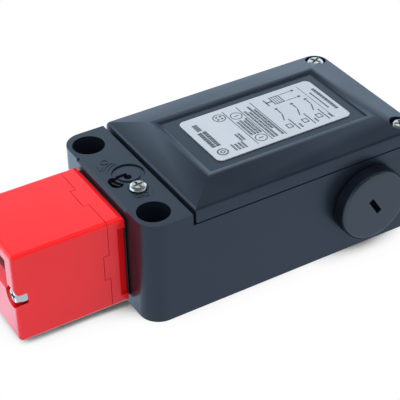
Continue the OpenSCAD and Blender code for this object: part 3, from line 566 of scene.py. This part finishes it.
def printLabel():
    low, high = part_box("label_plate")
    bm = bmesh.new()
    pick = random.Random(labelPrint["seed"])
    base = high.z - 0.005 * mm
    top = high.z + labelPrint["thick"] * mm
    halfRun = (high.y - low.y) / 2 / mm - labelPrint["edge"]

    def bar(u, v, width, length):
        # u runs from the label's head end, v from its middle line
        x = low.x + u * mm
        y = (low.y + high.y) / 2 + v * mm
        half = Vector((width, length)) * mm / 2
        addBox(bm, (x - half.x, y - half.y, base), (x + half.x, y + half.y, top))

    def stroke(start, end, width):
        a, b = Vector(start), Vector(end)
        middle, run = (a + b) / 2, b - a
        place = Vector((low.x, (low.y + high.y) / 2)) + middle * mm
        size = Vector((width, run.length)) * mm / 2
        turn = -Vector((0, 1)).angle_signed(run)
        addBox(bm, (place.x - size.x, place.y - size.y, base), (place.x + size.x, place.y + size.y, top), -turn)

    def words(u, start, end, width, shortest, longest):
        v = start
        while v < end:
            run = min(pick.uniform(shortest, longest), end - v)
            if run > 0.2:
                bar(u, v + run / 2, width, run)
            v += run + labelPrint["gap"]

    def ring(u, v, radius, width):
        centre = (low.x + u * mm, (low.y + high.y) / 2 + v * mm)
        addArc(bm, centre, radius * mm, width * mm, base, top, 0, 2 * pi, 40)

    # heavy heading, a plain round shape before it and small lines after it
    for u in (3.1, 4.9):
        words(u, -5.5, 4.5, 1.5, 0.8, 1.3)
    words(4.0, 5.3, 9.4, 1.9, 0.5, 0.9)
    ring(4.05, -9.2, 1.75, 0.5)
    ring(4.05, -9.2, 0.7, 0.4)
    # pin plan of a plug, and short lines
    ring(13.65, 8.7, 2.15, 0.36)
    for k in range(4):
        turn = pi / 4 + k * pi / 2
        ring(13.65 + 1.05 * cos(turn), 8.7 + 1.05 * sin(turn), 0.26, 0.4)
    for u in (8.5, 9.8, 11.1, 12.3):
        words(u, -11.0, -7.0, 0.8, 0.4, 1.0)
    for u in (12.9, 14.0):
        words(u, -7.0, -2.6, 0.75, 0.4, 0.9)
    # table with a ring at both ends of its first column
    for u in (16.45, 22.05, 27.65):
        bar(u, 0, labelPrint["line"], 2 * halfRun)
    for v in (6.8, -8.7):
        ring(19.3, v, 2.0, 0.34)
        bar(19.3, v, 1.7, 0.42)
    for u, start, end in ((17.6, -6.0, 3.4), (18.8, -6.0, 4.0), (20.0, -6.0, 3.0), (21.1, -6.0, 4.2), (23.2, -10.8, 8.0),
                          (24.4, -10.8, 6.4), (25.6, -6.0, 9.8), (26.7, -10.8, 7.2)):
        words(u, start, end, 0.82, 0.35, 1.1)
    # three contacts, each a moving arm between two leads
    for u in (33.15, 39.45, 45.15):
        stroke((u, -halfRun), (u, -4.2), 0.42)
        stroke((u, -4.2), (u - 1.6, -0.4), 0.42)
        stroke((u, 0.0), (u, 2.4), 0.42)
        bar(u, 3.2, 1.1, 0.9)
        bar(u - 2.0, -6.9, 1.9, 0.36)
        bar(u - 2.0, -9.1, 1.9, 0.36)
        bar(u - 2.9, -8.0, 0.36, 2.4)
        bar(u - 1.1, -8.0, 0.36, 2.4)
        words(u + 1.5, -10.9, -8.4, 0.7, 0.5, 0.9)
    # coil with its plunger
    for v in (5.9, 10.3):
        bar(36.6, v, 3.6, 0.34)
        bar(41.2, v, 4.4, 0.26)
    for u in (34.8, 38.4):
        bar(u, 8.1, 0.42, 4.6)
    for u in (35.7, 36.6, 37.5):
        bar(u, 8.1, 0.26, 4.4)
    bar(33.4, 8.1, 2.4, 0.6)
    bar(32.3, 8.1, 0.5, 4.2)
    for v in (5.9, 10.3):
        bar(44.3, v, 1.2, 0.9)
    # closing lines
    bar(47.05, 0, 0.2, 2 * halfRun)
    words(48.85, -5.5, 6.0, 0.6, 0.4, 1.0)
    words(51.1, -7.5, 7.7, 1.2, 0.6, 1.5)
    return newPiece("label_print", bm, inkMaterial)


printLabel()
print("label printed")


# Fine ribs round the heads of the closing plugs

plugRibs = {"count": 96, "proud": 0.24, "wide": 0.36, "from": 0.5, "to": 4.3}


def ribPlug(nodeName, side):
    low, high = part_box(nodeName)
    centre = Vector(((low.x + high.x) / 2, 0, (low.z + high.z) / 2))
    reach = (high.x - low.x) / 2
    face = low.y if side < 0 else high.y
    inner = face - side * 5.0 * mm
    bm = bmesh.new()
    for k in range(plugRibs["count"]):
        turn = 2 * pi * k / plugRibs["count"]
        rib = addBox(bm, (-plugRibs["wide"] / 2 * mm, plugRibs["from"] * mm, -0.1 * mm),
                     (plugRibs["wide"] / 2 * mm, plugRibs["to"] * mm, plugRibs["proud"] * mm))
        place = (Matrix.Translation((centre.x, inner, centre.z)) @ Matrix.Rotation(turn, 4, "Y")
                 @ Matrix.Translation((0, 0, reach)) @ Matrix.Diagonal((1, side, 1, 1)))
        bmesh.ops.transform(bm, matrix=place, verts=rib)
    return newPiece(nodeName + "_ribs", bm, materials["black_plug"])


ribPlug("plug_front", -1)
ribPlug("plug_back", 1)
print("plugs ribbed")


# Thread in the open entry at the far end

entryThread = {"pitch": 1.5, "deep": 0.5, "turns": 5, "steps": 48}


def cutThread():
    mount = next(m for m in frame["record"]["mounts"] if m["name"] == "cable_entry")
    mouth = Vector(mount["pos_m"])
    reach = mount["dims"]["r_mm"] * mm
    pitch = entryThread["pitch"] * mm
    bm = bmesh.new()
    start = mouth.x - mount["dims"]["length_mm"] / 2 * mm - entryThread["turns"] * pitch / 2
    profile = [(0.05, 0.0), (-entryThread["deep"], 0.45), (-entryThread["deep"], 0.60), (0.05, 1.05)]
    verts = [bm.verts.new((start + across * mm, mouth.y, mouth.z + reach + inward * mm)) for inward, across in profile]
    edges = [bm.edges.new((verts[k], verts[k + 1])) for k in range(3)] + [bm.edges.new((verts[3], verts[0]))]
    face = bm.faces.new(verts)
    bmesh.ops.spin(bm, geom=verts + edges + [face], cent=mouth, axis=(1, 0, 0), angle=2 * pi * entryThread["turns"],
                   dvec=(pitch / entryThread["steps"], 0, 0), steps=entryThread["turns"] * entryThread["steps"])
    return newPiece("entry_thread", bm, materials["black_moulding"])


cutThread()
print("entry threaded")


# Raised marks beside the release: two turning arrows and a short line

releaseMarks = {
    "proud": 0.12, "line": 0.32, "arcs": ((7.0, 96, 52), (8.2, 100, 40), (7.4, 196, 26)),
    "rings": ((-3.6, 9.6, 1.2), (-0.6, -13.0, 1.0)),
    "bars": ((-6.4, 6.6, 2.6, 35), (-6.9, 8.2, 2.0, 80), (-3.2, -11.6, 2.8, 20), (-3.0, -13.4, 2.2, -15), (2.2, -12.2, 2.4, 60))}


def markRelease():
    low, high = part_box("release_disc")
    centre = ((low.x + high.x) / 2, (low.y + high.y) / 2)
    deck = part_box("housing")[1].z
    base, top = deck - 0.05 * mm, deck + releaseMarks["proud"] * mm
    bm = bmesh.new()
    for reach, start, turn in releaseMarks["arcs"]:
        addArc(bm, centre, reach * mm, releaseMarks["line"] * mm, base, top, radians(start), radians(turn), 12)
    for x, y, radius in releaseMarks["rings"]:
        addArc(bm, (centre[0] + x * mm, centre[1] + y * mm), radius * mm, releaseMarks["line"] * mm, base, top, 0, 2 * pi, 24)
    for x, y, long, turn in releaseMarks["bars"]:
        spot = Vector((centre[0] + x * mm, centre[1] + y * mm))
        half = Vector((long, releaseMarks["line"])) * mm / 2
        addBox(bm, (*(spot - half), base), (*(spot + half), top), radians(turn))
    return newPiece("release_marks", bm, materials["black_moulding"])


markRelease()
print("release marked")


# Floor, lamps and surroundings

# shadowReach and shadow set the floor's painted contact shadow; floorMirrored and floorBehind set its glow in mirrored
# rays
studio = {"floorSize": 6.0, "floorColour": (0.80, 0.80, 0.80), "mirrored": (0.66, 0.82, 1.0), "floorMirrored": 0.84, "floorBehind": 1.9,
          "surround": 0.80, "ceiling": 0.16, "backEdge": (0.40, 0.80), "frontEdge": (0.10, 0.42),
          "shadowReach": 16 * mm, "shadow": ((0.0, 0.02), (0.25, 0.14), (0.41, 0.76), (0.58, 0.975), (0.78, 1.0))}


def rayFactor(tree, names):
    # 1 for the named kinds of ray
    path = tree.nodes.new("ShaderNodeLightPath")
    total = path.outputs[names[0]]
    for name in names[1:]:
        add = addNode(tree, "ShaderNodeMath", {"operation": "ADD", "use_clamp": True})
        tree.links.new(total, add.inputs[0])
        tree.links.new(path.outputs[name], add.inputs[1])
        total = add.outputs[0]
    return total


def mixShaders(tree, factor, first, second):
    mix = tree.nodes.new("ShaderNodeMixShader")
    tree.links.new(factor, mix.inputs[0])
    tree.links.new(first, mix.inputs[1])
    tree.links.new(second, mix.inputs[2])
    return mix.outputs[0]


def layFloor():
    bm = bmesh.new()
    bmesh.ops.create_grid(bm, x_segments=1, y_segments=1, size=studio["floorSize"] / 2)
    mesh = bpy.data.meshes.new("floor")
    bm.to_mesh(mesh)
    bm.free()
    floor = bpy.data.objects.new("floor", mesh)
    floor.location.z = -0.01 * mm
    bpy.context.scene.collection.objects.link(floor)
    material = bpy.data.materials.new("floor")
    material.use_nodes = True
    tree = material.node_tree
    shader = tree.nodes["Principled BSDF"]
    shader.inputs["Base Color"].default_value = (*studio["floorColour"], 1)
    shader.inputs["Roughness"].default_value = 0.9
    shader.inputs["Specular IOR Level"].default_value = 0.1
    # white paper where the camera looks, with a painted contact shadow: an emission darkened by occlusion, not a
    # shadow cast by the lamps; in mirrored rays the paper glows a cool emitted light instead
    near = addNode(tree, "ShaderNodeAmbientOcclusion", {"samples": 16}, Distance=studio["shadowReach"])
    ramp = tree.nodes.new("ShaderNodeValToRGB")
    stops = ramp.color_ramp.elements
    while len(stops) < len(studio["shadow"]):
        stops.new(0.5)
    for stop, (place, value) in zip(stops, studio["shadow"]):
        stop.position = place
        stop.color = (value, value, value, 1)
    tree.links.new(near.outputs["AO"], ramp.inputs["Fac"])
    # painted shadow: the camera sees this emission, darkened by the occlusion ramp
    paintedShadowSeen = addNode(tree, "ShaderNodeEmission", Strength=1.0)
    tree.links.new(ramp.outputs["Color"], paintedShadowSeen.inputs["Color"])
    # the floor glows for mirrored rays only, though it is no lamp
    mirroredFloorGlow = addNode(tree, "ShaderNodeEmission", Strength=studio["floorMirrored"], Color=(*studio["mirrored"], 1))
    # painted reflection: in mirrored rays the paper behind the switch glows brighter than the paper before it
    where = tree.nodes.new("ShaderNodeNewGeometry")
    split = tree.nodes.new("ShaderNodeSeparateXYZ")
    behind = addNode(tree, "ShaderNodeMapRange", {"interpolation_type": "SMOOTHSTEP"}, From_Min=-0.025, From_Max=0.005,
                     To_Min=studio["floorMirrored"], To_Max=studio["floorBehind"])
    tree.links.new(where.outputs["Position"], split.inputs[0])
    tree.links.new(split.outputs["Y"], behind.inputs["Value"])
    tree.links.new(behind.outputs["Result"], mirroredFloorGlow.inputs["Strength"])
    both = mixShaders(tree, rayFactor(tree, ("Is Glossy Ray",)), shader.outputs[0], mirroredFloorGlow.outputs[0])
    result = mixShaders(tree, rayFactor(tree, ("Is Camera Ray", "Is Transmission Ray")), both, paintedShadowSeen.outputs[0])
    tree.links.new(result, tree.nodes["Material Output"].inputs["Surface"])
    mesh.materials.append(material)


def surround():
    # white where the camera looks; for mirrored rays a cool sweep, light low down and dark overhead
    world = bpy.data.worlds.new("studio")
    bpy.context.scene.world = world
    world.use_nodes = True
    tree = world.node_tree
    link = tree.links.new
    plain = tree.nodes["Background"]
    plain.inputs["Color"].default_value = (1, 1, 1, 1)
    plain.inputs["Strength"].default_value = studio["surround"]
    where = tree.nodes.new("ShaderNodeTexCoord")
    split = tree.nodes.new("ShaderNodeSeparateXYZ")
    link(where.outputs["Generated"], split.inputs[0])
    back = addNode(tree, "ShaderNodeMapRange", {"interpolation_type": "SMOOTHSTEP"}, From_Min=studio["backEdge"][0],
                   From_Max=studio["backEdge"][1], To_Min=1.5, To_Max=studio["ceiling"])
    front = addNode(tree, "ShaderNodeMapRange", {"interpolation_type": "SMOOTHSTEP"}, From_Min=studio["frontEdge"][0],
                    From_Max=studio["frontEdge"][1], To_Min=1.0, To_Max=studio["ceiling"])
    side = addNode(tree, "ShaderNodeMapRange", {"interpolation_type": "SMOOTHSTEP"}, From_Min=-0.30, From_Max=0.15)
    blend = addNode(tree, "ShaderNodeMix", {"data_type": "FLOAT"})
    link(split.outputs["Z"], back.inputs["Value"])
    link(split.outputs["Z"], front.inputs["Value"])
    link(split.outputs["Y"], side.inputs["Value"])
    link(side.outputs["Result"], blend.inputs[0])
    link(front.outputs["Result"], blend.inputs[2])
    link(back.outputs["Result"], blend.inputs[3])
    sweep = addNode(tree, "ShaderNodeBackground", Color=(*studio["mirrored"], 1))
    link(blend.outputs[0], sweep.inputs["Strength"])
    white = addNode(tree, "ShaderNodeBackground", Color=(1, 1, 1, 1), Strength=1.0)
    mirrored = mixShaders(tree, rayFactor(tree, ("Is Glossy Ray",)), plain.outputs[0], sweep.outputs[0])
    result = mixShaders(tree, rayFactor(tree, ("Is Camera Ray", "Is Transmission Ray")), mirrored, white.outputs[0])
    link(result, tree.nodes["World Output"].inputs["Surface"])


lamps = {
    "overhead": {"place": (-0.12, 0.10, 0.85), "size": 0.55, "power": 4.0, "mirrored": False},
    "glint": {"place": (0.35, -0.30, 0.75), "size": 0.10, "power": 0.25, "mirrored": True},
}


def hangLamps():
    for name, lamp in lamps.items():
        light = bpy.data.lights.new(name, "AREA")
        light.size = lamp["size"]
        light.energy = lamp["power"]
        holder = bpy.data.objects.new(name, light)
        holder.location = lamp["place"]
        holder.rotation_euler = (-Vector(lamp["place"])).to_track_quat("-Z", "Y").to_euler()
        holder.visible_glossy = lamp["mirrored"]
        bpy.context.scene.collection.objects.link(holder)


layFloor()
surround()
hangLamps()
print("studio lit")


# Camera at the photograph's angle

view = {"lens": 120.12, "turn": -30.41, "height": 36.11, "roll": -1.12, "place": (-182.3, -316.5, 285.6)}


def setCamera():
    turn, height, roll = (radians(view[key]) for key in ("turn", "height", "roll"))
    back = Vector((sin(turn) * cos(height), -cos(turn) * cos(height), sin(height)))
    right = Vector((0, 0, 1)).cross(back).normalized()
    up = back.cross(right)
    level, raised = right * cos(roll) + up * sin(roll), up * cos(roll) - right * sin(roll)
    data = bpy.data.cameras.new("camera")
    data.lens = view["lens"]
    data.sensor_width = 36
    data.clip_start = 0.01
    camera = bpy.data.objects.new("camera", data)
    camera.matrix_world = Matrix.Translation(Vector(view["place"]) * mm) @ Matrix((level, raised, back)).transposed().to_4x4()
    bpy.context.scene.collection.objects.link(camera)
    bpy.context.scene.camera = camera


setCamera()
bpy.context.scene.view_settings.view_transform = "Standard"
